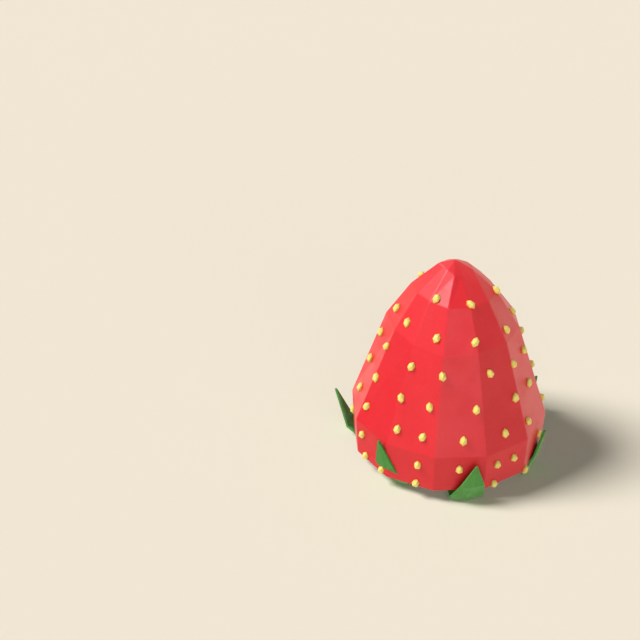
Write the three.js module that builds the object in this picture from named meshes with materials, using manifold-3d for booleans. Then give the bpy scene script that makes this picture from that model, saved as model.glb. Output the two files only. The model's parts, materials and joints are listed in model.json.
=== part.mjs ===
// A ripe strawberry that rests, tip up, on the flat underside of its leafy cap.
// Millimetres, +Z up. The origin is the middle of the cut stem's underside, on the surface
// it rests on, and -Y is the front. Turns are in degrees: 0 faces the front, + goes to +X.

import * as THREE from 'three';
import { mergeVertices } from 'three/addons/utils/BufferGeometryUtils.js';
import Module from 'manifold-3d';

const wasm = await Module();
wasm.setup();

// ---------------------------------------------------------------- driving dimensions

const GAP = 0.3; // kept between neighbouring pieces

// Flesh: a faceted body with twelve ridges, wide at the shoulder and narrow at the tip.
const RIDGES = 12;
const FIRST_RIDGE_TURN = -11.6;
const TIP_UP = 40.0;
const FLESH_RINGS = [
  { name: 'underside', up: 1.6, out: 10.5 },
  { name: 'base', up: 2.4, out: 17.6 },
  { name: 'shoulder', up: 9.9, out: 18.0 },
  { name: 'waist', up: 27.7, out: 12.0 },
  { name: 'neck', up: 34.5, out: 7.6 },
  { name: 'crown', up: 38.4, out: 3.1 },
];
// Corners that stand off their ring: in towards the axis, up, or across towards +X.
const NUDGES = [
  { ring: 'crown', ridge: 0, inwards: 0.25, across: 0.35 },
  { ring: 'crown', ridge: -1, inwards: 0.8, up: 0.45 },
  { ring: 'crown', ridge: -2, inwards: 0.95, up: 0.55 },
  { ring: 'crown', ridge: -3, inwards: 0.15, up: 0.6 },
  { ring: 'crown', ridge: 1, inwards: 0.2, up: -0.3 },
  { ring: 'crown', ridge: 2, inwards: 0.4, up: -0.2 },
  { ring: 'crown', ridge: 5, across: -0.4 },
  { ring: 'neck', ridge: -1, inwards: 0.65, up: 0.15 },
  { ring: 'neck', ridge: -2, inwards: 0.7 },
  { ring: 'neck', ridge: 4, inwards: 0.6 },
  { ring: 'neck', ridge: 8, inwards: 0.7, up: -0.3 },
  { ring: 'waist', ridge: -2, inwards: 1.0 },
  { ring: 'waist', ridge: -1, inwards: 0.6 },
  { ring: 'waist', ridge: 0, up: -0.4 },
  { ring: 'waist', ridge: 5, inwards: 0.5, up: -0.4 },
  { ring: 'waist', ridge: 7, inwards: 0.7 },
];
// A bent face folds from its lower corner up towards +X, except above these lower corners,
// where it folds down towards +X.
const FALLING_FOLDS = [{ ring: 'waist', ridge: -1 }];

// Seeds: pale faceted grains, half sunk in the flesh, in level rows.
const SEED_HALF_WIDTH = 0.78;
const SEED_HALF_HEIGHT = 0.95;
const SEED_HALF_DEPTH = 0.8;
const SEED_LIFT = 0.05; // of a seed's middle above the flesh
const SEED_ROW_TILT = 0.35; // how far a row sinks at +X and rises at -X
const SEED_ROWS = [
  { up: 3.0, count: 16, first: -87, nudges: [-10, 2, -4, -3, 0, 0, 2, 0, 0, 2, -4, -3, 0, 0, 2, 0] },
  { up: 7.3, count: 16, first: -87, nudges: [-5, -1, 0, -2, 0, 1, -9, -1, 0, 5, 0, 2, -3, 0, 2, -8] },
  { up: 12.9, count: 15, first: -92, nudges: [3, 1, 7, 0, 1, 5, 1, 5, 14, 8, 7, 0, 1, 5, 1] },
  { up: 18.3, count: 14, first: -95, nudges: [0, 0, 4, 0, 6, 12, 8, 6, 5, 0, 4, 0, 6, 3] },
  { up: 24.0, count: 13, first: -95, nudges: [0, -5, 2, 1, 11, 7, 2, 3, 4, -2, 3, 0, -12] },
  { up: 29.6, count: 10, first: -91, nudges: [0, -6, -1, 0, 3, 2, 4, -2, 3, -12] },
  { up: 35.0, count: 5, first: -99, nudges: [-16, -6, -26, -39, -4] },
];
const SEED_CLEAR_OF_SEPAL = 1.3; // from a seed's middle to the nearest part of a sepal

// Calyx: a small flat hub with the cut stem in it, and six sepals that lie under the
// flesh and turn up round the shoulder.
const HUB_SIDES = 12;
const HUB_OUT = 4.2;
const HUB_HOLE_OUT = 1.95;
const HUB_HEIGHT = 1.3;
const STEM_SIDES = 10;
const STEM_OUT = 1.6;
const STEM_HEIGHT = 1.2;
const SEPAL_THICKNESS = 0.5;
const SEPAL_TIP_HALF_WIDTH = 0.12;
const SEPAL_STATIONS = [
  // share of the full width, share of the fold, and the way across to the tip's turn
  { width: 0.45, fold: 0.2, sway: 0.0 },
  { width: 0.9, fold: 0.6, sway: 0.0 },
  { width: 1.0, fold: 1.0, sway: 0.15 },
  { width: 0.72, fold: 0.7, sway: 0.6 },
  { width: 0.0, fold: 0.0, sway: 1.0 },
];
const SEPAL_FOLD = 0.5; // how far the edges stand in from the midrib
const SEPAL_ROOT = { out: 4.55, up: 0.45 };
const SEPAL_FLAT = { out: 11.0, up: 0.45 };
const SEPALS = [
  {
    turn: 8, tipTurn: 12, halfWidth: 3.1,
    bend: { out: 17.0, up: 0.4 }, rise: { out: 18.7, up: 4.2 }, tip: { out: 18.6, up: 8.6 },
  },
  {
    turn: 61, tipTurn: 70, halfWidth: 2.8,
    bend: { out: 16.6, up: 0.4 }, rise: { out: 17.9, up: 3.6 }, tip: { out: 18.5, up: 7.8 },
  },
  {
    turn: 123, tipTurn: 122, halfWidth: 3.0,
    bend: { out: 16.6, up: 0.5 }, rise: { out: 19.0, up: 3.4 }, tip: { out: 21.2, up: 7.9 },
  },
  {
    turn: 187, tipTurn: 190, halfWidth: 3.1,
    bend: { out: 16.8, up: 0.4 }, rise: { out: 19.0, up: 4.0 }, tip: { out: 19.4, up: 8.6 },
  },
  {
    turn: -106, tipTurn: -105, halfWidth: 2.8,
    bend: { out: 16.6, up: 0.4 }, rise: { out: 18.9, up: 1.7 }, tip: { out: 21.4, up: 8.9 },
  },
  {
    turn: -39.5, tipTurn: -45.4, halfWidth: 3.1,
    bend: { out: 15.6, up: 0.8 }, rise: { out: 17.7, up: 4.6 }, tip: { out: 18.6, up: 10.4 },
  },
];

// ---------------------------------------------------------------- finishes

const FINISHES = {
  flesh: new THREE.MeshStandardMaterial({ color: 0xe0282f, roughness: 0.42, metalness: 0 }),
  sepal: new THREE.MeshStandardMaterial({ color: 0x3f9240, roughness: 0.6, metalness: 0 }),
  calyx: new THREE.MeshStandardMaterial({ color: 0x5f9a3c, roughness: 0.65, metalness: 0 }),
  stem: new THREE.MeshStandardMaterial({ color: 0xa9b65a, roughness: 0.7, metalness: 0 }),
};

// ---------------------------------------------------------------- helpers

/** The point at a turn round the axis, a distance out from it, and a height up. */
function around(turn, out, up) {
  const angle = THREE.MathUtils.degToRad(turn);
  return new THREE.Vector3(out * Math.sin(angle), -out * Math.cos(angle), up);
}

/** A closed three.js geometry as a manifold-3d solid. */
function solidOf(geometry) {
  const bare = geometry.clone();
  bare.deleteAttribute('normal');
  bare.deleteAttribute('uv');
  const merged = mergeVertices(bare, 1e-4);
  return new wasm.Manifold(new wasm.Mesh({
    numProp: 3,
    vertProperties: new Float32Array(merged.attributes.position.array),
    triVerts: new Uint32Array(merged.index.array),
  }));
}

/** A manifold-3d solid as a three.js geometry. */
function geometryOf(solid) {
  const mesh = solid.getMesh();
  const geometry = new THREE.BufferGeometry();
  geometry.setAttribute('position', new THREE.BufferAttribute(mesh.vertProperties, 3));
  geometry.setIndex(new THREE.BufferAttribute(mesh.triVerts, 1));
  geometry.computeVertexNormals();
  return geometry;
}

function named(name, geometry, finish) {
  const mesh = new THREE.Mesh(geometry, finish);
  mesh.name = name;
  return mesh;
}

// ---------------------------------------------------------------- sepals

/** The stations of a sepal's midrib, from the hub to the tip. */
function midrib(sepal) {
  return [SEPAL_ROOT, SEPAL_FLAT, sepal.bend, sepal.rise, sepal.tip];
}

/** The way a sepal's upper face looks at a station, in its own out-and-up plane. */
function upperFace(path, index) {
  const before = path[Math.max(index - 1, 0)];
  const after = path[Math.min(index + 1, path.length - 1)];
  return new THREE.Vector2(before.up - after.up, after.out - before.out).normalize();
}

/** A sepal as a bent, folded and tapered box; spare thickens it on every side. */
function sepalGeometry(sepal, spare = 0) {
  const path = midrib(sepal);
  const last = path.length - 1;
  const geometry = new THREE.BoxGeometry(last, 2, 1, last, 2, 1);
  const position = geometry.attributes.position;
  for (let i = 0; i < position.count; i += 1) {
    const station = Math.round(position.getX(i) + last / 2);
    const across = position.getY(i);
    const share = SEPAL_STATIONS[station];
    const face = upperFace(path, station);
    const tipwards = station === last ? spare : 0;
    const halfWidth = Math.max(sepal.halfWidth * share.width, SEPAL_TIP_HALF_WIDTH) + spare;
    const lift = SEPAL_FOLD * share.fold * Math.abs(across)
      + position.getZ(i) * (SEPAL_THICKNESS + 2 * spare);
    const out = path[station].out + face.x * lift + face.y * tipwards;
    const up = path[station].up + face.y * lift - face.x * tipwards;
    const turn = THREE.MathUtils.lerp(sepal.turn, sepal.tipTurn, share.sway);
    const place = around(turn, out, up);
    const sideways = around(turn + 90, across * halfWidth, 0);
    position.setXYZ(i, place.x + sideways.x, place.y + sideways.y, place.z);
  }
  return geometry;
}

/** The distance from a point to the nearest station of a sepal's midrib, width taken off. */
function distanceToSepal(point, sepal) {
  const path = midrib(sepal);
  let nearest = Infinity;
  for (let station = 0; station < path.length - 1; station += 1) {
    for (let step = 0; step <= 4; step += 1) {
      const along = step / 4;
      const from = SEPAL_STATIONS[station];
      const to = SEPAL_STATIONS[station + 1];
      const sway = THREE.MathUtils.lerp(from.sway, to.sway, along);
      const width = THREE.MathUtils.lerp(from.width, to.width, along) * sepal.halfWidth;
      const out = THREE.MathUtils.lerp(path[station].out, path[station + 1].out, along);
      const up = THREE.MathUtils.lerp(path[station].up, path[station + 1].up, along);
      const turn = THREE.MathUtils.lerp(sepal.turn, sepal.tipTurn, sway);
      nearest = Math.min(nearest, point.distanceTo(around(turn, out, up)) - width);
    }
  }
  return nearest;
}

// ---------------------------------------------------------------- fruit

/** True if an entry names this ring and ridge. */
function isAt(entry, ring, ridge) {
  return entry.ring === ring.name && (entry.ridge + RIDGES) % RIDGES === ridge;
}

/** The corners of a ring of the flesh, each nudged off it where it has a nudge. */
function ringCorners(ring) {
  return Array.from({ length: RIDGES }, (_, ridge) => {
    const nudge = NUDGES.find((entry) => isAt(entry, ring, ridge)) ?? {};
    const { inwards = 0, up = 0, across = 0 } = nudge;
    const turn = FIRST_RIDGE_TURN + (360 / RIDGES) * ridge;
    return around(turn, ring.out - inwards, ring.up + up).add(around(turn + 90, across, 0));
  });
}

/** The faceted flesh: its rings of corners joined face by face, closed below and at the tip. */
function fleshGeometry() {
  const rings = FLESH_RINGS.map(ringCorners);
  const tip = new THREE.Vector3(0, 0, TIP_UP);
  const underside = new THREE.Vector3(0, 0, FLESH_RINGS[0].up);
  const corners = [];
  for (let k = 0; k < RIDGES; k += 1) {
    const next = (k + 1) % RIDGES;
    corners.push(underside, rings[0][next], rings[0][k]);
    corners.push(rings.at(-1)[k], rings.at(-1)[next], tip);
    for (let i = 0; i < rings.length - 1; i += 1) {
      const [low, lowNext] = [rings[i][k], rings[i][next]];
      const [high, highNext] = [rings[i + 1][k], rings[i + 1][next]];
      if (FALLING_FOLDS.some((entry) => isAt(entry, FLESH_RINGS[i], k))) {
        corners.push(low, lowNext, high, lowNext, highNext, high);
      } else {
        corners.push(low, lowNext, highNext, low, highNext, high);
      }
    }
  }
  const geometry = new THREE.BufferGeometry().setFromPoints(corners);
  geometry.computeVertexNormals();
  return geometry;
}

/** One seed, half sunk where a level line at this turn and height meets the flesh. */
function seedGeometry(flesh, turn, up) {
  const inwards = around(turn, -1, 0);
  const hit = new THREE.Raycaster(around(turn, 30, up), inwards).intersectObject(flesh)[0];
  const normal = hit.face.normal.clone();
  const sideways = new THREE.Vector3(0, 0, 1).cross(normal).normalize();
  const upwards = normal.clone().cross(sideways);
  const middle = hit.point.clone().addScaledVector(normal, SEED_LIFT);
  const seed = new THREE.IcosahedronGeometry(1, 0);
  seed.scale(SEED_HALF_WIDTH, SEED_HALF_HEIGHT, SEED_HALF_DEPTH);
  seed.applyMatrix4(new THREE.Matrix4().makeBasis(sideways, upwards, normal));
  seed.translate(middle.x, middle.y, middle.z);
  return { geometry: seed, middle };
}

/** Flesh and seeds grown as one body, cut back round the sepals that press into it. */
function fruitGeometry() {
  const geometry = fleshGeometry();
  const flesh = new THREE.Mesh(geometry, FINISHES.flesh);
  let fruit = solidOf(geometry);
  for (const row of SEED_ROWS) {
    for (let k = 0; k < row.count; k += 1) {
      const turn = row.first + (360 / row.count) * k + row.nudges[k % row.nudges.length];
      const sink = SEED_ROW_TILT * Math.sin(THREE.MathUtils.degToRad(turn));
      const seed = seedGeometry(flesh, turn, row.up - sink);
      const clear = SEPALS.every((s) => distanceToSepal(seed.middle, s) > SEED_CLEAR_OF_SEPAL);
      if (clear) {
        fruit = fruit.add(solidOf(seed.geometry));
      }
    }
  }
  for (const sepal of SEPALS) {
    fruit = fruit.subtract(solidOf(sepalGeometry(sepal, GAP)));
  }
  return geometryOf(fruit);
}

// ---------------------------------------------------------------- calyx hub and stem

/** The outline of a regular polygon. */
function polygon(PathClass, sides, out) {
  const outline = new PathClass();
  for (let i = 0; i < sides; i += 1) {
    const corner = around((360 / sides) * i, out, 0);
    if (i === 0) {
      outline.moveTo(corner.x, corner.y);
    } else {
      outline.lineTo(corner.x, corner.y);
    }
  }
  outline.closePath();
  return outline;
}

function hubGeometry() {
  const outline = polygon(THREE.Shape, HUB_SIDES, HUB_OUT);
  outline.holes.push(polygon(THREE.Path, HUB_SIDES, HUB_HOLE_OUT));
  return new THREE.ExtrudeGeometry(outline, { depth: HUB_HEIGHT, bevelEnabled: false });
}

function stemGeometry() {
  const outline = polygon(THREE.Shape, STEM_SIDES, STEM_OUT);
  return new THREE.ExtrudeGeometry(outline, { depth: STEM_HEIGHT, bevelEnabled: false });
}

// ---------------------------------------------------------------- the strawberry

const strawberry = new THREE.Group();
strawberry.add(named('fruit', fruitGeometry(), FINISHES.flesh));
strawberry.add(named('calyx_hub', hubGeometry(), FINISHES.calyx));
strawberry.add(named('stem_stub', stemGeometry(), FINISHES.stem));
SEPALS.forEach((sepal, i) => {
  strawberry.add(named(`sepal_${i + 1}`, sepalGeometry(sepal), FINISHES.sepal));
});

export default strawberry;
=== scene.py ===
"""A ripe strawberry resting tip up on its leafy cap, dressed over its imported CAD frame.

Every object is in metres in the frame of the part: +Z up, -Y the front, the origin in the
middle of the cut stem's underside. The sizes that the classes of the fruit hold are in
millimetres, and the studio's are in metres. Turns are in degrees round the upright axis:
0 faces the front and + goes towards +X.
"""

import json
import logging
import math
from collections.abc import Callable, Iterable
from dataclasses import dataclass, field
from enum import Enum

import bmesh
import bpy
from mathutils import Matrix, Vector

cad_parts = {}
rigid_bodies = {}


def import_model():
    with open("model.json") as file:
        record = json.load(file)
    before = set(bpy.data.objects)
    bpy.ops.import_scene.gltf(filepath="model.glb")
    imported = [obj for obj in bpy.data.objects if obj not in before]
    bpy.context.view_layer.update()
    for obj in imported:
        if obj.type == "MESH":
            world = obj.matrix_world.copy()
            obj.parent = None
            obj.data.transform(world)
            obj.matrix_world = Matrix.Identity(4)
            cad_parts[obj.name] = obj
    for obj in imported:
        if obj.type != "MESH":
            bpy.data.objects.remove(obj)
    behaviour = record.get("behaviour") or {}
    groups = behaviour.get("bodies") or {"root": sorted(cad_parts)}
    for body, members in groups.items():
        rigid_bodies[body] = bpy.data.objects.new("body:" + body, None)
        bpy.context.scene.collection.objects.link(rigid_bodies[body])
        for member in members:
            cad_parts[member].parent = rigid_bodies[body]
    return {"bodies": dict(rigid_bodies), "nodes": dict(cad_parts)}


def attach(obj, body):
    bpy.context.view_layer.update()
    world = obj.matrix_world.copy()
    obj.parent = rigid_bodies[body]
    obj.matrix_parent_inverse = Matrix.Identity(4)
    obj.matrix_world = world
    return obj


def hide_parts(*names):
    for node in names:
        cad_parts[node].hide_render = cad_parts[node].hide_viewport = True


LOG = logging.getLogger("strawberry")
MM = 0.001
TOUCH = 0.05 * MM  # points nearer than this to a place are at it


# ------------------------------------------------------------------ names and places


class Slot(Enum):
    """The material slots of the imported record."""

    FLESH = "flesh"
    SEED = "seed"
    SEPAL = "sepal"
    CALYX = "calyx"
    STEM = "stem"


class Ring(Enum):
    """The level rings of corners that the flesh is built from, from the underside up."""

    UNDERSIDE = 0
    BASE = 1
    SHOULDER = 2
    WAIST = 3
    NECK = 4
    CROWN = 5


class Pick(Enum):
    """What a pick in edit mode takes."""

    POINTS = "VERT"
    FACES = "FACE"


def around(turn: float, out: float, up: float) -> Vector:
    """The point at a turn round the axis, a distance out from it and a height up.

    Args:
        turn: Degrees from the front, + towards +X.
        out: Distance from the axis in millimetres.
        up: Height in millimetres.

    Returns:
        The point in metres.
    """
    angle = math.radians(turn)
    return Vector((out * math.sin(angle), -out * math.cos(angle), up)) * MM


def between(low: float, high: float, share: float) -> float:
    """The value a share of the way from low to high."""
    return low + (high - low) * share


# ------------------------------------------------------------------ hand tools


class Bench:
    """The hand tools every piece is made with: picking, moving and finishing."""

    @staticmethod
    def clear() -> None:
        """Leaves edit mode and deselects everything."""
        if bpy.context.object is not None and bpy.context.object.mode != "OBJECT":
            bpy.ops.object.mode_set(mode="OBJECT")
        bpy.ops.object.select_all(action="DESELECT")

    @staticmethod
    def take(name: str) -> bpy.types.Object:
        """Names the primitive just added and puts its place into its mesh.

        Args:
            name: The name of the piece.

        Returns:
            The piece, selected and active, in object mode.
        """
        piece = bpy.context.object
        piece.name = name
        piece.data.name = name
        bpy.ops.object.transform_apply(location=True, rotation=True, scale=True)
        return piece

    @staticmethod
    def activate(piece: bpy.types.Object) -> None:
        """Makes a piece the only selected object and the active one.

        Args:
            piece: The piece to take in hand.
        """
        Bench.clear()
        piece.select_set(True)
        bpy.context.view_layer.objects.active = piece

    @staticmethod
    def open(piece: bpy.types.Object, pick: Pick = Pick.POINTS) -> None:
        """Opens a piece in edit mode with nothing picked.

        Args:
            piece: The piece to open.
            pick: What a pick takes.
        """
        Bench.activate(piece)
        bpy.ops.object.mode_set(mode="EDIT")
        Bench.drop_all(pick)

    @staticmethod
    def drop_all(pick: Pick) -> None:
        """Leaves nothing picked in the open piece, and sets what the next pick takes."""
        bpy.ops.mesh.select_mode(type=pick.value)
        bpy.ops.mesh.select_all(action="DESELECT")

    @staticmethod
    def close() -> None:
        """Goes back to object mode."""
        bpy.ops.object.mode_set(mode="OBJECT")

    @staticmethod
    def pick_points(piece: bpy.types.Object, test: Callable[[Vector], bool]) -> int:
        """Picks the points of the open piece that pass a test on their place.

        Args:
            piece: The piece in edit mode.
            test: Says of a place whether it is picked.

        Returns:
            How many points were picked.
        """
        Bench.drop_all(Pick.POINTS)
        mesh = bmesh.from_edit_mesh(piece.data)
        count = 0
        for point in mesh.verts:
            if test(point.co):
                point.select = True
                count += 1
        mesh.select_flush(True)
        bmesh.update_edit_mesh(piece.data)
        return count

    @staticmethod
    def pick_at(piece: bpy.types.Object, *places: Vector) -> int:
        """Picks the points of the open piece that are at any of some places.

        Args:
            piece: The piece in edit mode.
            *places: The places.

        Returns:
            How many points were picked.
        """
        return Bench.pick_points(
            piece, lambda co: min((co - place).length for place in places) < TOUCH
        )

    @staticmethod
    def pick_faces(piece: bpy.types.Object, test: Callable[[Vector, Vector], bool]) -> int:
        """Picks the faces of the open piece that pass a test on their middle and normal.

        Args:
            piece: The piece in edit mode.
            test: Says of a middle and a normal whether the face is picked.

        Returns:
            How many faces were picked.
        """
        Bench.drop_all(Pick.FACES)
        mesh = bmesh.from_edit_mesh(piece.data)
        mesh.normal_update()
        count = 0
        for face in mesh.faces:
            if test(face.calc_center_median(), face.normal):
                face.select = True
                count += 1
        mesh.select_flush_mode()
        bmesh.update_edit_mesh(piece.data)
        return count

    @staticmethod
    def bevel(
        piece: bpy.types.Object, width: float, segments: int = 2, angle: float = 40.0
    ) -> None:
        """Softens the edges of a piece that are sharper than an angle.

        Args:
            piece: The piece in object mode.
            width: Width of the softened edge in millimetres.
            segments: Facets across it.
            angle: Degrees between the faces from which an edge is softened.
        """
        Bench.activate(piece)
        soft = piece.modifiers.new("soft_edges", "BEVEL")
        soft.width = width * MM
        soft.segments = segments
        soft.limit_method = "ANGLE"
        soft.angle_limit = math.radians(angle)
        soft.use_clamp_overlap = True
        bpy.ops.object.modifier_apply(modifier=soft.name)

    @staticmethod
    def close_skin(piece: bpy.types.Object) -> None:
        """Merges doubled points and turns every face of a closed piece outwards.

        Args:
            piece: The piece in object mode.
        """
        Bench.open(piece)
        bpy.ops.mesh.select_all(action="SELECT")
        bpy.ops.mesh.remove_doubles(threshold=1e-6)
        bpy.ops.mesh.normals_make_consistent(inside=False)
        Bench.close()


# ------------------------------------------------------------------ finishes


class Nodes:
    """A short way to place and join shader nodes in one node tree."""

    def __init__(self, tree: bpy.types.NodeTree) -> None:
        """Empties a node tree and keeps it.

        Args:
            tree: The tree to build in.
        """
        self.tree = tree
        tree.nodes.clear()

    def add(self, kind: str, **settings: object) -> bpy.types.Node:
        """Adds a node.

        Args:
            kind: The node's type name.
            **settings: Its properties by name.

        Returns:
            The node.
        """
        node = self.tree.nodes.new(kind)
        for name, value in settings.items():
            setattr(node, name, value)
        return node

    def join(self, source: bpy.types.NodeSocket, target: bpy.types.NodeSocket) -> None:
        """Joins an output socket to an input socket."""
        self.tree.links.new(source, target)

    def math(self, operation: str, a: object, b: object) -> bpy.types.NodeSocket:
        """Adds a math node on two sockets or numbers.

        Args:
            operation: The math operation's name.
            a: First socket or number.
            b: Second socket or number.

        Returns:
            The result's socket.
        """
        node = self.add("ShaderNodeMath", operation=operation)
        for socket, value in zip(node.inputs, (a, b)):
            if isinstance(value, bpy.types.NodeSocket):
                self.join(value, socket)
            else:
                socket.default_value = value
        return node.outputs["Value"]

    def mix(self, share: object, a: object, b: object) -> bpy.types.NodeSocket:
        """Adds a colour mix.

        Args:
            share: Socket or number, 0 for a and 1 for b.
            a: First colour, a socket or three numbers.
            b: Second colour, a socket or three numbers.

        Returns:
            The mixed colour's socket.
        """
        node = self.add("ShaderNodeMix", data_type="RGBA")
        for index, value in ((0, share), (6, a), (7, b)):
            if isinstance(value, bpy.types.NodeSocket):
                self.join(value, node.inputs[index])
            elif index == 0:
                node.inputs[index].default_value = value
            else:
                node.inputs[index].default_value = (*value, 1.0)
        return node.outputs[2]

    def spread(
        self,
        value: bpy.types.NodeSocket,
        start: tuple[float, float],
        end: tuple[float, float] = (0.0, 1.0),
        smooth: bool = True,
    ) -> bpy.types.NodeSocket:
        """Stretches a value from one range to another and holds it at the ends.

        Args:
            value: The socket to stretch.
            start: The range it comes in.
            end: The range it leaves in.
            smooth: Whether it eases in and out at the ends.

        Returns:
            The stretched value's socket.
        """
        easing = "SMOOTHSTEP" if smooth else "LINEAR"
        node = self.add("ShaderNodeMapRange", interpolation_type=easing)
        for name, limit in zip(("From Min", "From Max", "To Min", "To Max"), (*start, *end)):
            node.inputs[name].default_value = limit
        self.join(value, node.inputs["Value"])
        return node.outputs["Result"]


class Grain:
    """The shared shader group for natural skins: mottling, fine specks and relief."""

    NAME = "natural_grain"
    MOTTLE_RANGE = (0.36, 0.64)
    SPECK_RANGE = (0.52, 0.72)
    PORE_SHARE = 0.45

    @classmethod
    def group(cls) -> bpy.types.NodeTree:
        """Builds the group once and gives it back after that.

        Returns:
            The node group, with inputs Place, Patches, Specks and Pores in features per
            metre, and outputs Mottle and Speck from 0 to 1 and Relief, a height.
        """
        known = bpy.data.node_groups.get(cls.NAME)
        if known is not None:
            return known
        tree = bpy.data.node_groups.new(cls.NAME, "ShaderNodeTree")
        face = tree.interface
        face.new_socket("Place", in_out="INPUT", socket_type="NodeSocketVector")
        for name, start in (("Patches", 120.0), ("Specks", 1500.0), ("Pores", 3500.0)):
            socket = face.new_socket(name, in_out="INPUT", socket_type="NodeSocketFloat")
            socket.default_value = start
        for name in ("Mottle", "Speck", "Relief"):
            face.new_socket(name, in_out="OUTPUT", socket_type="NodeSocketFloat")
        nodes = Nodes(tree)
        start = nodes.add("NodeGroupInput")
        end = nodes.add("NodeGroupOutput")
        mottle = cls._noise(nodes, start, "Patches", detail=3.0, roughness=0.55)
        speck = cls._noise(nodes, start, "Specks", detail=2.0, roughness=0.6)
        pores = cls._noise(nodes, start, "Pores", detail=2.0, roughness=0.5)
        relief = nodes.math(
            "ADD",
            nodes.math("MULTIPLY", pores, cls.PORE_SHARE),
            nodes.math("MULTIPLY", speck, 1.0 - cls.PORE_SHARE),
        )
        nodes.join(nodes.spread(mottle, cls.MOTTLE_RANGE), end.inputs["Mottle"])
        nodes.join(nodes.spread(speck, cls.SPECK_RANGE), end.inputs["Speck"])
        nodes.join(relief, end.inputs["Relief"])
        return tree

    @staticmethod
    def _noise(
        nodes: Nodes, start: bpy.types.Node, scale: str, detail: float, roughness: float
    ) -> bpy.types.NodeSocket:
        """Adds a noise texture at the scale an input gives.

        Args:
            nodes: The tree's tools.
            start: The group's input node.
            scale: Name of the input that holds the scale.
            detail: Octaves of the noise.
            roughness: Strength of the finer octaves.

        Returns:
            The noise's value socket.
        """
        noise = nodes.add("ShaderNodeTexNoise")
        noise.inputs["Detail"].default_value = detail
        noise.inputs["Roughness"].default_value = roughness
        nodes.join(start.outputs["Place"], noise.inputs["Vector"])
        nodes.join(start.outputs[scale], noise.inputs["Scale"])
        return noise.outputs["Fac"]


@dataclass(frozen=True)
class Finish:
    """A natural skin: two colours mottled together, specks, sheen and fine relief.

    Attributes:
        name: Name of the material.
        colour: The main colour, linear.
        patch_colour: The colour of the soft patches.
        speck_colour: The colour of the fine specks.
        patches: Patches per metre.
        specks: Specks per metre.
        pores: Pores per metre.
        patch_share: Strength of the patches, 0 to 1.
        speck_share: Strength of the specks, 0 to 1.
        sheen_low: Roughness where the skin is glossiest.
        sheen_high: Roughness where it is dullest.
        relief: Depth of the relief in millimetres.
        specular: Specular level of the skin.
    """

    name: str
    colour: tuple[float, float, float]
    patch_colour: tuple[float, float, float]
    speck_colour: tuple[float, float, float]
    patches: float = 120.0
    specks: float = 1500.0
    pores: float = 3500.0
    patch_share: float = 0.5
    speck_share: float = 0.2
    sheen_low: float = 0.35
    sheen_high: float = 0.45
    relief: float = 0.01
    specular: float = 0.5

    def material(self) -> bpy.types.Material:
        """Builds the finish's material once and gives it back after that.

        Returns:
            The material.
        """
        known = bpy.data.materials.get(self.name)
        if known is not None:
            return known
        made = bpy.data.materials.new(self.name)
        made.use_nodes = True
        made.diffuse_color = (*self.colour, 1.0)
        nodes = Nodes(made.node_tree)
        place = nodes.add("ShaderNodeTexCoord").outputs["Object"]
        grain = nodes.add("ShaderNodeGroup", node_tree=Grain.group())
        nodes.join(place, grain.inputs["Place"])
        grain.inputs["Patches"].default_value = self.patches
        grain.inputs["Specks"].default_value = self.specks
        grain.inputs["Pores"].default_value = self.pores
        skin = nodes.add("ShaderNodeBsdfPrincipled")
        skin.inputs["Specular IOR Level"].default_value = self.specular
        patched = nodes.mix(
            nodes.math("MULTIPLY", grain.outputs["Mottle"], self.patch_share),
            self.colour,
            self.patch_colour,
        )
        patched = self.drawn(nodes, place, patched)
        specked = nodes.mix(
            nodes.math("MULTIPLY", grain.outputs["Speck"], self.speck_share),
            patched,
            self.speck_colour,
        )
        nodes.join(specked, skin.inputs["Base Color"])
        sheen = (self.sheen_low, self.sheen_high)
        dullness = nodes.spread(grain.outputs["Mottle"], (0.0, 1.0), sheen, smooth=False)
        nodes.join(dullness, skin.inputs["Roughness"])
        bump = nodes.add("ShaderNodeBump")
        bump.inputs["Strength"].default_value = 1.0
        bump.inputs["Distance"].default_value = self.relief * MM
        nodes.join(self.raised(nodes, place, grain.outputs["Relief"]), bump.inputs["Height"])
        nodes.join(bump.outputs["Normal"], skin.inputs["Normal"])
        end = nodes.add("ShaderNodeOutputMaterial")
        nodes.join(skin.outputs["BSDF"], end.inputs["Surface"])
        return made

    def drawn(
        self, nodes: Nodes, place: bpy.types.NodeSocket, colour: bpy.types.NodeSocket
    ) -> bpy.types.NodeSocket:
        """The colour with the finish's own drawing on it; plain unless a finish adds one."""
        return colour

    def raised(
        self, nodes: Nodes, place: bpy.types.NodeSocket, relief: bpy.types.NodeSocket
    ) -> bpy.types.NodeSocket:
        """The height with the finish's own relief on it; plain unless a finish adds one."""
        return relief

    def dress(self, piece: bpy.types.Object) -> None:
        """Gives a piece this finish and no other."""
        piece.data.materials.clear()
        piece.data.materials.append(self.material())


@dataclass(frozen=True)
class SeedFinish(Finish):
    """A husk that turns orange where it sinks into the flesh: partly the seed's own darker base,
    partly painted red bounce light and shade from the flesh.

    Attributes:
        amber_and_bounce_shade: The colour it turns to there, partly painted red bounce light and
            shade.
        rim: The depths at which it starts to turn and has turned.
        depth: Name of the seed's own measure, 0 at its outer end and 1 at its inner end.
    """

    # The orange rim is partly painted red bounce light and shade where the seed meets the flesh.
    amber_and_bounce_shade: tuple[float, float, float] = (0.72, 0.27, 0.03)
    rim: tuple[float, float] = (0.22, 0.62)
    depth: str = "depth"

    def drawn(
        self, nodes: Nodes, place: bpy.types.NodeSocket, colour: bpy.types.NodeSocket
    ) -> bpy.types.NodeSocket:
        """The husk's colour with the orange rim drawn on it, partly painted red bounce light and
        shade near the flesh.
        """
        depth = nodes.add("ShaderNodeAttribute", attribute_name=self.depth).outputs["Fac"]
        return nodes.mix(nodes.spread(depth, self.rim), colour, self.amber_and_bounce_shade)


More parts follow.
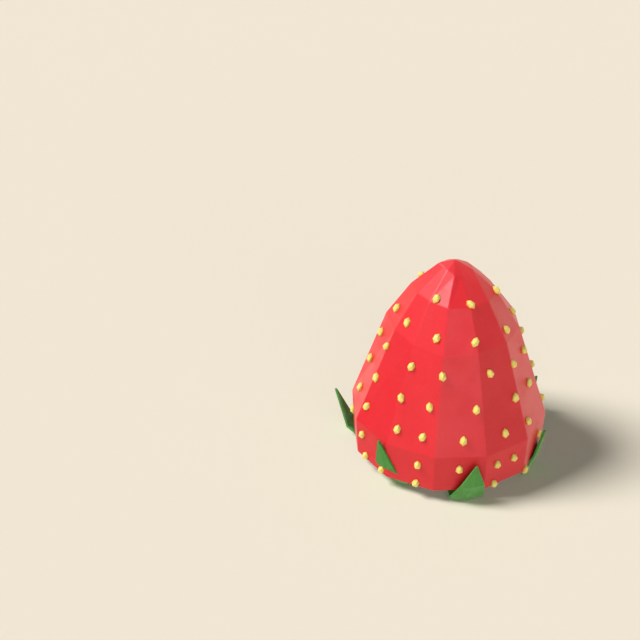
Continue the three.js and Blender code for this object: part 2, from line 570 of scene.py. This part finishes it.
@dataclass(frozen=True)
class LeafFinish(Finish):
    """A leaf skin with a midrib and side veins, drawn in the leaf's own lengthwise map.

    Attributes:
        vein_colour: The colour of the veins.
        vein_share: Strength of the veins, 0 to 1.
        vein_depth: How far they sink into the leaf, as a share of its relief.
        midrib_reach: How far the midrib fades out, as a share of the leaf's width.
        side_veins: Side veins along the leaf.
        side_reach: How far a side vein fades out, as a share of the way to the next.
        side_share: Strength of the side veins beside the midrib's.
        slant: How far a side vein runs tipwards on its way to the edge.
    """

    vein_colour: tuple[float, float, float] = (0.16, 0.42, 0.09)
    vein_share: float = 0.32
    vein_depth: float = 0.8
    midrib_reach: float = 0.05
    side_veins: float = 9.0
    side_reach: float = 0.09
    side_share: float = 0.55
    slant: float = 0.5

    def drawn(
        self, nodes: Nodes, place: bpy.types.NodeSocket, colour: bpy.types.NodeSocket
    ) -> bpy.types.NodeSocket:
        """The leaf's colour with its veins drawn on it."""
        share = nodes.math("MULTIPLY", self._veins(nodes), self.vein_share)
        return nodes.mix(share, colour, self.vein_colour)

    def raised(
        self, nodes: Nodes, place: bpy.types.NodeSocket, relief: bpy.types.NodeSocket
    ) -> bpy.types.NodeSocket:
        """The leaf's relief with its veins sunk into it."""
        sunk = nodes.math("MULTIPLY", self._veins(nodes), self.vein_depth)
        return nodes.math("SUBTRACT", relief, sunk)

    def _veins(self, nodes: Nodes) -> bpy.types.NodeSocket:
        """Adds a value that is 1 on the midrib, less on the side veins and 0 between them.

        Args:
            nodes: The material's node tools.

        Returns:
            The value's socket.
        """
        parts = nodes.add("ShaderNodeSeparateXYZ")
        nodes.join(nodes.add("ShaderNodeUVMap").outputs["UV"], parts.inputs["Vector"])
        across = nodes.math("ABSOLUTE", nodes.math("SUBTRACT", parts.outputs["Y"], 0.5), 0.0)
        midrib = nodes.spread(across, (0.0, self.midrib_reach), (1.0, 0.0))
        lag = nodes.math("MULTIPLY", across, self.slant)
        along = nodes.math("SUBTRACT", parts.outputs["X"], lag)
        wave = nodes.math("PINGPONG", nodes.math("MULTIPLY", along, self.side_veins), 0.5)
        line = nodes.spread(wave, (0.0, self.side_reach), (1.0, 0.0))
        return nodes.math("MAXIMUM", midrib, nodes.math("MULTIPLY", line, self.side_share))


FLESH_SKIN = Finish(
    name="ripe_flesh",
    colour=(0.77, 0.013, 0.026),
    patch_colour=(0.70, 0.008, 0.018),
    speck_colour=(0.83, 0.034, 0.044),
    patches=160.0,
    specks=1900.0,
    pores=4200.0,
    patch_share=0.45,
    speck_share=0.25,
    sheen_low=0.40,
    sheen_high=0.48,
    relief=0.012,
    specular=0.52,
)
SEED_HUSK = SeedFinish(
    name="seed_husk",
    colour=(0.98, 0.82, 0.21),
    patch_colour=(0.95, 0.72, 0.14),
    speck_colour=(0.84, 0.52, 0.09),
    patches=900.0,
    specks=6000.0,
    pores=9000.0,
    patch_share=0.55,
    speck_share=0.25,
    sheen_low=0.38,
    sheen_high=0.5,
    relief=0.008,
)
LEAF_GREEN = LeafFinish(
    name="sepal_leaf",
    colour=(0.060, 0.295, 0.040),
    patch_colour=(0.044, 0.225, 0.030),
    speck_colour=(0.15, 0.38, 0.08),
    patches=350.0,
    specks=2600.0,
    pores=5200.0,
    patch_share=0.6,
    speck_share=0.35,
    sheen_low=0.5,
    sheen_high=0.62,
    relief=0.02,
)
CAP_GREEN = Finish(
    name="cap_green",
    colour=(0.13, 0.33, 0.07),
    patch_colour=(0.09, 0.24, 0.05),
    speck_colour=(0.28, 0.42, 0.12),
    patches=500.0,
    specks=3000.0,
    pores=6000.0,
    patch_share=0.6,
    speck_share=0.4,
    sheen_low=0.55,
    sheen_high=0.68,
    relief=0.03,
)
CUT_STEM = Finish(
    name="cut_stem",
    colour=(0.42, 0.47, 0.16),
    patch_colour=(0.30, 0.38, 0.11),
    speck_colour=(0.56, 0.56, 0.30),
    patches=900.0,
    specks=4200.0,
    pores=7000.0,
    patch_share=0.6,
    speck_share=0.5,
    sheen_low=0.6,
    sheen_high=0.75,
    relief=0.04,
)


# ------------------------------------------------------------------ flesh


@dataclass(frozen=True)
class Nudge:
    """A corner of the flesh that stands off its ring.

    Attributes:
        ring: The ring the corner is on.
        ridge: Its ridge, counted from the first ridge towards +X.
        inwards: How far it stands in, in millimetres.
        up: How far it stands up, in millimetres.
        across: How far it stands towards +X round the axis, in millimetres.
    """

    ring: Ring
    ridge: int
    inwards: float = 0.0
    up: float = 0.0
    across: float = 0.0


@dataclass
class Flesh:
    """The faceted red body: twelve ridges, a full shoulder and a narrow tip."""

    ridges: int = 12
    first_ridge_turn: float = -11.6
    tip_up: float = 40.0
    rings: dict[Ring, tuple[float, float]] = field(
        default_factory=lambda: {
            Ring.UNDERSIDE: (1.6, 10.5),
            Ring.BASE: (2.4, 17.6),
            Ring.SHOULDER: (9.9, 18.0),
            Ring.WAIST: (27.7, 12.0),
            Ring.NECK: (34.5, 7.6),
            Ring.CROWN: (38.4, 3.1),
        }
    )
    nudges: tuple[Nudge, ...] = (
        Nudge(Ring.CROWN, 0, inwards=0.25, across=0.35),
        Nudge(Ring.CROWN, -1, inwards=0.8, up=0.45),
        Nudge(Ring.CROWN, -2, inwards=0.95, up=0.55),
        Nudge(Ring.CROWN, -3, inwards=0.15, up=0.6),
        Nudge(Ring.CROWN, 1, inwards=0.2, up=-0.3),
        Nudge(Ring.CROWN, 2, inwards=0.4, up=-0.2),
        Nudge(Ring.CROWN, 5, across=-0.4),
        Nudge(Ring.NECK, -1, inwards=0.65, up=0.15),
        Nudge(Ring.NECK, -2, inwards=0.7),
        Nudge(Ring.NECK, 4, inwards=0.6),
        Nudge(Ring.NECK, 8, inwards=0.7, up=-0.3),
        Nudge(Ring.WAIST, -2, inwards=1.0),
        Nudge(Ring.WAIST, -1, inwards=0.6),
        Nudge(Ring.WAIST, 0, up=-0.4),
        Nudge(Ring.WAIST, 5, inwards=0.5, up=-0.4),
        Nudge(Ring.WAIST, 7, inwards=0.7),
    )
    # A bent face folds from its lower corner up towards +X, except above these lower
    # corners, where it folds down towards +X.
    falling_folds: tuple[tuple[Ring, int], ...] = ((Ring.WAIST, -1),)
    edge_softness: float = 0.16
    sharpest_flat: float = 1.2  # degrees between facets up to which an edge stays as it is

    def corner(self, ring: Ring, ridge: int, nudged: bool = True) -> Vector:
        """The place of a corner.

        Args:
            ring: Its ring.
            ridge: Its ridge.
            nudged: Whether its nudge is added, if it has one.

        Returns:
            The place in metres.
        """
        ridge %= self.ridges
        up, out = self.rings[ring]
        turn = self.first_ridge_turn + 360.0 / self.ridges * ridge
        place = around(turn, out, up)
        for nudge in self.nudges:
            if nudged and nudge.ring is ring and nudge.ridge % self.ridges == ridge:
                place += around(turn, -nudge.inwards, nudge.up)
                place += around(turn + 90, nudge.across, 0)
        return place

    def build(self) -> bpy.types.Object:
        """Raises the body ring by ring, nudges its corners and folds its bent faces.

        Returns:
            The finished flesh, its facets still sharp.
        """
        piece = self._raise_rings()
        self._nudge_corners(piece)
        self._fold_faces(piece)
        Bench.close_skin(piece)
        return piece

    def soften(self, piece: bpy.types.Object) -> None:
        """Rounds the ridges a little, once the seeds have found their places on it."""
        Bench.bevel(piece, self.edge_softness, angle=self.sharpest_flat)
        FLESH_SKIN.dress(piece)

    def _raise_rings(self) -> bpy.types.Object:
        """Extrudes a twelve-sided plate upwards from ring to ring and closes the tip.

        Returns:
            The body, its corners all on their rings.
        """
        up, out = self.rings[Ring.UNDERSIDE]
        Bench.clear()
        bpy.ops.mesh.primitive_circle_add(
            vertices=self.ridges,
            radius=out * MM,
            fill_type="NGON",
            location=(0, 0, up * MM),
            rotation=(0, 0, math.radians(self.first_ridge_turn)),
        )
        piece = Bench.take("flesh")
        Bench.open(piece, Pick.FACES)
        bpy.ops.mesh.select_all(action="SELECT")
        for ring in list(Ring)[1:]:
            next_up, next_out = self.rings[ring]
            rise = (next_up - up) * MM
            bpy.ops.mesh.extrude_region_move(TRANSFORM_OT_translate={"value": (0, 0, rise)})
            share = next_out / out
            bpy.ops.transform.resize(value=(share, share, 1), center_override=(0, 0, next_up * MM))
            up, out = next_up, next_out
        bpy.ops.mesh.extrude_region_move(
            TRANSFORM_OT_translate={"value": (0, 0, (self.tip_up - up) * MM)}
        )
        bpy.ops.mesh.merge(type="CENTER")
        Bench.close()
        return piece

    def _nudge_corners(self, piece: bpy.types.Object) -> None:
        """Moves each nudged corner off its ring.

        Args:
            piece: The body.
        """
        Bench.open(piece)
        for nudge in self.nudges:
            start = self.corner(nudge.ring, nudge.ridge, nudged=False)
            goal = self.corner(nudge.ring, nudge.ridge)
            Bench.pick_at(piece, start)
            bpy.ops.transform.translate(value=goal - start)
        Bench.close()

    def _bent_faces(self) -> list[tuple[Ring, int]]:
        """Lists the four-cornered faces that a nudge bends.

        Returns:
            The ring of each face's lower corners and the ridge of its first one, in order.
        """
        bent = set()
        for nudge in self.nudges:
            for lower in (nudge.ring.value - 1, nudge.ring.value):
                for first in (nudge.ridge - 1, nudge.ridge):
                    if lower != Ring.CROWN.value:
                        bent.add((lower, first % self.ridges))
        return [(Ring(lower), first) for lower, first in sorted(bent)]

    def _fold_faces(self, piece: bpy.types.Object) -> None:
        """Cuts each bent face from corner to corner, the way it folds.

        Args:
            piece: The body, its corners nudged.
        """
        falling = {(ring, ridge % self.ridges) for ring, ridge in self.falling_folds}
        Bench.open(piece)
        for low, first in self._bent_faces():
            high = Ring(low.value + 1)
            start, end = (first + 1, first) if (low, first) in falling else (first, first + 1)
            Bench.pick_at(piece, self.corner(low, start), self.corner(high, end))
            bpy.ops.mesh.vert_connect()
        Bench.close()


# ------------------------------------------------------------------ seeds


@dataclass(frozen=True)
class SeedRow:
    """A level row of seeds.

    Attributes:
        up: Height of the row in millimetres.
        count: Places in the row.
        first: Turn of the first place.
        nudges: Degrees each seed stands off its even place, repeated round the row.
        bare: Places left without a seed, because a sepal lies there.
    """

    up: float
    count: int
    first: float
    nudges: tuple[float, ...]
    bare: tuple[int, ...] = ()

    def turns(self) -> list[float]:
        """The turn of each seed of the row.

        Returns:
            The turns, the bare places left out.
        """
        return [
            self.first + 360.0 / self.count * k + self.nudges[k % len(self.nudges)]
            for k in range(self.count)
            if k not in self.bare
        ]


@dataclass
class Seeds:
    """Pale faceted seeds, half sunk in the flesh in level rows."""

    half_width: float = 0.78
    half_height: float = 0.95
    half_depth: float = 0.80
    lift: float = 0.05
    row_tilt: float = 0.35
    narrowing: float = 0.9
    tip_drop: float = 0.12
    edge_softness: float = 0.05
    greatest_lean: float = 22.0
    rows: tuple[SeedRow, ...] = (
        SeedRow(
            3.0, 16, -87, (-10, 2, -4, -3, 0, 0, 2, 0, 0, 2, -4, -3, 0, 0, 2, 0),
            bare=(0, 4, 7, 9, 10, 12, 15),
        ),
        SeedRow(
            7.3, 16, -87, (-5, -1, 0, -2, 0, 1, -9, -1, 0, 5, 0, 2, -3, 0, 2, -8), bare=(2,)
        ),
        SeedRow(12.9, 15, -92, (3, 1, 7, 0, 1, 5, 1, 5, 14, 8, 7, 0, 1, 5, 1)),
        SeedRow(18.3, 14, -95, (0, 0, 4, 0, 6, 12, 8, 6, 5, 0, 4, 0, 6, 3)),
        SeedRow(24.0, 13, -95, (0, -5, 2, 1, 11, 7, 2, 3, 4, -2, 3, 0, -12)),
        SeedRow(29.6, 10, -91, (0, -6, -1, 0, 3, 2, 4, -2, 3, -12)),
        SeedRow(35.0, 5, -99, (-16, -6, -26, -39, -4)),
    )

    def build(self, flesh: bpy.types.Object) -> list[bpy.types.Object]:
        """Models one seed and sets a copy of it at every place of every row.

        Args:
            flesh: The flesh the seeds sit in, with its facets still flat.

        Returns:
            The seeds.
        """
        pattern = self._pattern()
        pieces = []
        for number, row in enumerate(self.rows, start=1):
            for place, turn in enumerate(row.turns(), start=1):
                name = f"seed_{number}_{place:02d}"
                up = row.up - self.row_tilt * math.sin(math.radians(turn))
                pieces.append(self._set(pattern, flesh, name, turn, up))
        bpy.data.objects.remove(pattern)
        return pieces

    def _pattern(self) -> bpy.types.Object:
        """Models the seed that all the others copy: a plump grain, pinched to its tip.

        Returns:
            The seed, standing at the origin with its outer side to the front.
        """
        Bench.clear()
        bpy.ops.mesh.primitive_ico_sphere_add(subdivisions=1, radius=MM)
        piece = Bench.take("seed_pattern")
        Bench.open(piece)
        Bench.pick_points(piece, lambda co: co.z > TOUCH)
        share = self.narrowing
        bpy.ops.transform.resize(value=(share, share, 1.0), center_override=(0, 0, 0))
        Bench.pick_at(piece, Vector((0, 0, -MM)))
        bpy.ops.transform.translate(value=(0, 0, -self.tip_drop * MM))
        bpy.ops.mesh.select_all(action="SELECT")
        bpy.ops.transform.resize(
            value=(self.half_width, self.half_depth, self.half_height),
            center_override=(0, 0, 0),
        )
        Bench.close()
        Bench.bevel(piece, self.edge_softness, segments=1, angle=5.0)
        # This depth measure places the orange rim, partly painted red bounce light and shade, at
        # the seed's inner end.
        depth = piece.data.attributes.new(SEED_HUSK.depth, "FLOAT", "POINT")
        for point, value in zip(piece.data.vertices, depth.data):
            value.value = 0.5 + point.co.y / (2 * self.half_depth * MM)
        SEED_HUSK.dress(piece)
        return piece

    def _lean(self, turn: float, up: float) -> float:
        """An uneven lean to one side, in radians, that differs from seed to seed."""
        share = math.sin(turn * 2.7 + up * 1.9)
        return math.radians(self.greatest_lean * share)

    def _set(
        self,
        pattern: bpy.types.Object,
        flesh: bpy.types.Object,
        name: str,
        turn: float,
        up: float,
    ) -> bpy.types.Object:
        """Sets a copy of the seed on the flesh, its long way up the slope.

        Args:
            pattern: The seed to copy.
            flesh: The flesh it sits in.
            name: The new piece's name.
            turn: The turn it sits at.
            up: The height it sits at, in millimetres.

        Returns:
            The seed in its place.
        """
        inwards = around(turn, -1.0, 0.0).normalized()
        found, place, normal, _ = flesh.ray_cast(around(turn, 30.0, up), inwards)
        if not found:
            raise RuntimeError(f"no flesh at turn {turn} and height {up}")
        sideways = Vector((0, 0, 1)).cross(normal).normalized()
        upwards = normal.cross(sideways)
        lean = Matrix.Rotation(self._lean(turn, up), 4, "Y")
        tilt = Matrix((sideways, -normal, upwards)).transposed().to_4x4() @ lean
        piece = pattern.copy()
        piece.data = pattern.data.copy()
        piece.name = name
        piece.data.name = name
        bpy.context.scene.collection.objects.link(piece)
        middle = place + normal * self.lift * MM
        piece.data.transform(Matrix.Translation(middle) @ tilt)
        piece.data.update()
        return piece


# ------------------------------------------------------------------ calyx


@dataclass(frozen=True)
class Sepal:
    """One sepal: it lies under the flesh from the hub and turns up round the shoulder.

    Attributes:
        turn: Turn of its root.
        tip_turn: Turn of its tip.
        half_width: Half its greatest width in millimetres.
        bend: Out and up of its midrib where it starts to rise.
        rise: Out and up of its midrib half way up.
        tip: Out and up of its tip.
    """

    turn: float
    tip_turn: float
    half_width: float
    bend: tuple[float, float]
    rise: tuple[float, float]
    tip: tuple[float, float]


@dataclass
class Calyx:
    """The leafy cap: a flat hub round the cut stem, and six folded sepals."""

    thickness: float = 0.44
    fold: float = 0.5
    root: tuple[float, float] = (4.55, 0.45)
    flat: tuple[float, float] = (11.0, 0.45)
    # Share of the full width, share of the fold, way across to the tip's turn.
    stations: tuple[tuple[float, float, float], ...] = (
        (0.45, 0.2, 0.0),
        (0.9, 0.6, 0.0),
        (1.0, 1.0, 0.15),
        (0.72, 0.7, 0.6),
        (0.04, 0.0, 1.0),
    )
    sepals: tuple[Sepal, ...] = (
        Sepal(8, 12, 3.1, (17.0, 0.4), (18.7, 4.2), (18.6, 8.6)),
        Sepal(61, 70, 2.8, (16.6, 0.4), (17.9, 3.6), (18.5, 7.8)),
        Sepal(123, 122, 3.0, (16.6, 0.5), (19.0, 3.4), (21.2, 7.9)),
        Sepal(187, 190, 3.1, (16.8, 0.4), (19.0, 4.0), (19.4, 8.6)),
        Sepal(-106, -105, 2.8, (16.6, 0.4), (18.9, 1.7), (21.4, 8.9)),
        Sepal(-39.5, -45.4, 3.1, (15.6, 0.8), (17.7, 4.6), (18.6, 10.4)),
    )
    leaf_rim: float = 0.1
    hub_sides: int = 12
    hub_out: float = 4.2
    hub_hole_out: float = 1.95
    hub_height: float = 1.3
    hub_rim: float = 0.25
    stem_sides: int = 10
    stem_out: float = 1.6
    stem_height: float = 1.2
    stem_rim: float = 0.1
    stem_bark: float = 0.35
    stem_slope: float = 0.45
    stem_dish: float = 0.18

    def build_sepal(self, sepal: Sepal, name: str) -> bpy.types.Object:
        """Shapes a strip station by station into a folded leaf and gives it a thickness.

        Args:
            sepal: The sepal's own sizes.
            name: The piece's name.

        Returns:
            The finished sepal.
        """
        path = (self.root, self.flat, sepal.bend, sepal.rise, sepal.tip)
        last = len(path) - 1
        Bench.clear()
        bpy.ops.mesh.primitive_grid_add(x_subdivisions=last, y_subdivisions=2, size=2 * MM)
        piece = Bench.take(name)
        Bench.open(piece)
        for station, (out, up) in enumerate(path):
            column = between(-1.0, 1.0, station / last)
            width, fold, sway = self.stations[station]
            facing = self._upper_face(path, station)
            for side in (-1, 0, 1):
                start = Vector((column, side, 0)) * MM
                lift = self.fold * fold * abs(side)
                turn = between(sepal.turn, sepal.tip_turn, sway)
                goal = around(turn, out + facing.x * lift, up + facing.y * lift)
                goal += around(turn + 90, side * sepal.half_width * width, 0)
                Bench.pick_at(piece, start)
                bpy.ops.transform.translate(value=goal - start)
        Bench.close()
        self._thicken(piece)
        LEAF_GREEN.dress(piece)
        return piece

    def build_hub(self) -> bpy.types.Object:
        """Shapes the flat hub: a plate, its hole inset and pushed through, edges softened.

        Returns:
            The finished hub.
        """
        Bench.clear()
        bpy.ops.mesh.primitive_cylinder_add(
            vertices=self.hub_sides,
            radius=self.hub_out * MM,
            depth=self.hub_height * MM,
            location=(0, 0, self.hub_height / 2 * MM),
        )
        piece = Bench.take("cap_hub")
        Bench.open(piece, Pick.FACES)
        Bench.pick_faces(piece, lambda middle, normal: abs(normal.z) > 0.9)
        side = (self.hub_out - self.hub_hole_out) * math.cos(math.pi / self.hub_sides)
        bpy.ops.mesh.inset(thickness=side * MM)
        bpy.ops.mesh.bridge_edge_loops()
        Bench.close()
        Bench.close_skin(piece)
        Bench.bevel(piece, self.hub_rim)
        CAP_GREEN.dress(piece)
        return piece

    def build_stem(self) -> bpy.types.Object:
        """Shapes the cut stem: a short plug whose cut end is inset and dished a little.

        Returns:
            The finished stem.
        """
        Bench.clear()
        bpy.ops.mesh.primitive_cylinder_add(
            vertices=self.stem_sides,
            radius=self.stem_out * MM,
            depth=self.stem_height * MM,
            location=(0, 0, self.stem_height / 2 * MM),
        )
        piece = Bench.take("cut_stem")
        Bench.open(piece, Pick.FACES)
        Bench.pick_faces(piece, lambda middle, normal: normal.z < -0.9)
        bpy.ops.mesh.inset(thickness=self.stem_bark * MM)
        bpy.ops.mesh.inset(thickness=self.stem_slope * MM)
        bpy.ops.transform.translate(value=(0, 0, self.stem_dish * MM))
        Bench.close()
        Bench.close_skin(piece)
        Bench.bevel(piece, self.stem_rim)
        CUT_STEM.dress(piece)
        return piece

    def _thicken(self, piece: bpy.types.Object) -> None:
        """Gives a flat leaf its wall, half to each side, and softens its rim.

        Args:
            piece: The leaf, a single skin.
        """
        Bench.activate(piece)
        wall = piece.modifiers.new("wall", "SOLIDIFY")
        wall.thickness = self.thickness * MM
        wall.offset = 0.0
        wall.use_even_offset = True
        bpy.ops.object.modifier_apply(modifier=wall.name)
        Bench.close_skin(piece)
        Bench.bevel(piece, self.leaf_rim)

    @staticmethod
    def _upper_face(path: tuple[tuple[float, float], ...], station: int) -> Vector:
        """The way a sepal's upper face looks at a station.

        Args:
            path: Out and up of the midrib at each station.
            station: The station's number, from the root.

        Returns:
            The way it looks, one long, out and up.
        """
        before = Vector(path[max(station - 1, 0)])
        after = Vector(path[min(station + 1, len(path) - 1)])
        along = after - before
        return Vector((-along.y, along.x)).normalized()


# ------------------------------------------------------------------ studio


@dataclass(frozen=True)
class Lamp:
    """A broad, far light.

    Attributes:
        name: Its name.
        turn: The turn it stands at.
        height: How high it stands, in degrees above the floor.
        strength: Its strength.
        softness: How broad it looks from the fruit, in degrees.
    """

    name: str
    turn: float
    height: float
    strength: float
    softness: float

    def hang(self) -> bpy.types.Object:
        """Hangs the light where it stands, facing the fruit.

        Returns:
            The light.
        """
        lamp = bpy.data.lights.new(self.name, "SUN")
        lamp.energy = self.strength
        lamp.angle = math.radians(self.softness)
        holder = bpy.data.objects.new(self.name, lamp)
        height = math.radians(self.height)
        place = around(self.turn, math.cos(height) / MM, math.sin(height) / MM)
        holder.rotation_euler = place.to_track_quat("Z", "Y").to_euler()
        holder.location = place
        bpy.context.scene.collection.objects.link(holder)
        return holder


@dataclass(frozen=True)
class Side:
    """A side of the backdrop that is brighter or dimmer than the rest in reflections.

    Attributes:
        turn: The turn of its middle.
        height: How high its middle is, in degrees above the floor.
        reach: How far it fades out from its middle, in degrees.
        strength: The backdrop's strength at its middle; it is 1 elsewhere.
    """

    turn: float
    height: float
    reach: float
    strength: float

    def shade(self, nodes: Nodes) -> bpy.types.NodeSocket:
        """Adds the backdrop's strength, fading from this side's middle to 1.

        Args:
            nodes: The world's node tools.

        Returns:
            The strength's socket.
        """
        height = math.radians(self.height)
        towards = nodes.add("ShaderNodeVectorMath", operation="DOT_PRODUCT")
        towards.inputs[1].default_value = around(
            self.turn, math.cos(height) / MM, math.sin(height) / MM
        )
        nodes.join(nodes.add("ShaderNodeTexCoord").outputs["Generated"], towards.inputs[0])
        rim = math.cos(math.radians(self.reach))
        return nodes.spread(towards.outputs["Value"], (rim, 1.0), (1.0, self.strength))


@dataclass
class Studio:
    """A plain pale floor, a soft key from the left, a low fill, a pale sky and the camera."""

    floor_size: float = 6.0
    floor_thickness: float = 0.02
    floor_colour: tuple[float, float, float] = (0.937, 0.853, 0.704)
    key: Lamp = Lamp("key", turn=-91.0, height=49.0, strength=3.02, softness=22.0)
    fill: Lamp = Lamp("fill", turn=9.0, height=9.0, strength=1.18, softness=60.0)
    sky_colour: tuple[float, float, float] = (1.0, 0.99, 0.97)
    sky_strength: float = 0.115
    backdrop_colour: tuple[float, float, float] = (0.887, 0.806, 0.665)
    sides: tuple[Side, ...] = (
        Side(turn=112.0, height=18.0, reach=62.0, strength=2.6),
        Side(turn=-145.0, height=-8.0, reach=44.0, strength=1.9),
        Side(turn=-48.0, height=2.0, reach=34.0, strength=1.7),
        Side(turn=-96.0, height=-18.0, reach=42.0, strength=0.0),
    )
    camera_place: tuple[float, float, float] = (-0.02366, -0.22937, 0.17087)
    camera_tilt: float = 58.0
    camera_lens: float = 85.0
    camera_film: float = 36.0
    nearest_seen: float = 0.01

    def build_floor(self) -> bpy.types.Object:
        """Lays a wide matt plate with its top at the resting plane, unseen in reflections.

        Returns:
            The floor.
        """
        Bench.clear()
        bpy.ops.mesh.primitive_plane_add(size=self.floor_size)
        floor = Bench.take("floor")
        Bench.open(floor, Pick.FACES)
        bpy.ops.mesh.select_all(action="SELECT")
        bpy.ops.mesh.extrude_region_move(
            TRANSFORM_OT_translate={"value": (0, 0, -self.floor_thickness)}
        )
        Bench.close()
        Bench.close_skin(floor)
        paint = bpy.data.materials.new("pale_floor")
        paint.use_nodes = True
        nodes = Nodes(paint.node_tree)
        matt = nodes.add("ShaderNodeBsdfPrincipled")
        matt.inputs["Base Color"].default_value = (*self.floor_colour, 1.0)
        matt.inputs["Roughness"].default_value = 0.9
        matt.inputs["Specular IOR Level"].default_value = 0.1
        end = nodes.add("ShaderNodeOutputMaterial")
        nodes.join(matt.outputs["BSDF"], end.inputs["Surface"])
        floor.data.materials.append(paint)
        floor.visible_glossy = False
        return floor

    def paint_sky(self) -> None:
        """Gives the world an even pale light, and a backdrop with brighter and dimmer sides.

        The sides show only in reflections: the camera sees the backdrop even all round.
        """
        world = bpy.data.worlds.new("sky")
        world.use_nodes = True
        nodes = Nodes(world.node_tree)
        light = nodes.add("ShaderNodeBackground")
        light.inputs["Color"].default_value = (*self.sky_colour, 1.0)
        light.inputs["Strength"].default_value = self.sky_strength
        backdrop = nodes.add("ShaderNodeBackground")
        backdrop.inputs["Color"].default_value = (*self.backdrop_colour, 1.0)
        ray = nodes.add("ShaderNodeLightPath")
        strength = 1.0
        for side in self.sides:
            strength = nodes.math("MULTIPLY", side.shade(nodes), strength)
        uneven = nodes.math("SUBTRACT", strength, 1.0)
        reflected = nodes.math("MULTIPLY", uneven, ray.outputs["Is Glossy Ray"])
        nodes.join(nodes.math("ADD", reflected, 1.0), backdrop.inputs["Strength"])
        both = nodes.add("ShaderNodeMixShader")
        nodes.join(ray.outputs["Is Diffuse Ray"], both.inputs[0])
        nodes.join(backdrop.outputs["Background"], both.inputs[1])
        nodes.join(light.outputs["Background"], both.inputs[2])
        end = nodes.add("ShaderNodeOutputWorld")
        nodes.join(both.outputs["Shader"], end.inputs["Surface"])
        bpy.context.scene.world = world

    def set_camera(self) -> bpy.types.Object:
        """Sets up the camera that looks down on the fruit from the front.

        Returns:
            The camera.
        """
        lens = bpy.data.cameras.new("camera")
        lens.lens = self.camera_lens
        lens.sensor_width = self.camera_film
        lens.clip_start = self.nearest_seen
        lens.dof.use_dof = False
        camera = bpy.data.objects.new("camera", lens)
        camera.location = self.camera_place
        camera.rotation_euler = (math.radians(self.camera_tilt), 0.0, 0.0)
        bpy.context.scene.collection.objects.link(camera)
        bpy.context.scene.camera = camera
        return camera

    @staticmethod
    def keep_floor_neutral(flesh: bpy.types.Object) -> None:
        """Stops the red flesh from throwing its colour on the floor round it."""
        flesh.visible_diffuse = False


# ------------------------------------------------------------------ main


def clear_start_objects(keep: Iterable[bpy.types.Object]) -> None:
    """Takes away what a new file starts with.

    Args:
        keep: The objects that stay.
    """
    kept = set(keep)
    for thing in list(bpy.data.objects):
        if thing not in kept:
            bpy.data.objects.remove(thing)


def report(piece: bpy.types.Object) -> None:
    """Rides a piece on the fruit's one body and logs it.

    Args:
        piece: The piece.
    """
    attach(piece, "root")
    LOG.info("%s: %d faces", piece.name, len(piece.data.polygons))


def main() -> None:
    """Builds the strawberry and the studio round it, piece by piece."""
    logging.basicConfig(level=logging.INFO, format="%(name)s %(message)s")
    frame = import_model()
    clear_start_objects([*frame["nodes"].values(), *frame["bodies"].values()])
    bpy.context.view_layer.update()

    studio = Studio()
    studio.set_camera()
    studio.key.hang()
    studio.fill.hang()
    studio.paint_sky()
    studio.build_floor()

    flesh_maker = Flesh()
    flesh = flesh_maker.build()
    seeds = Seeds().build(flesh)
    flesh_maker.soften(flesh)
    studio.keep_floor_neutral(flesh)
    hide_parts("fruit")
    report(flesh)
    for seed in seeds:
        report(seed)

    calyx = Calyx()
    for number, sepal in enumerate(calyx.sepals, start=1):
        leaf = calyx.build_sepal(sepal, f"leaf_{number}")
        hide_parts(f"sepal_{number}")
        report(leaf)
    hub = calyx.build_hub()
    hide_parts("calyx_hub")
    report(hub)
    stem = calyx.build_stem()
    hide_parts("stem_stub")
    report(stem)
    Bench.clear()

    bpy.context.scene.view_settings.view_transform = "Standard"


if __name__ == "__main__":
    main()
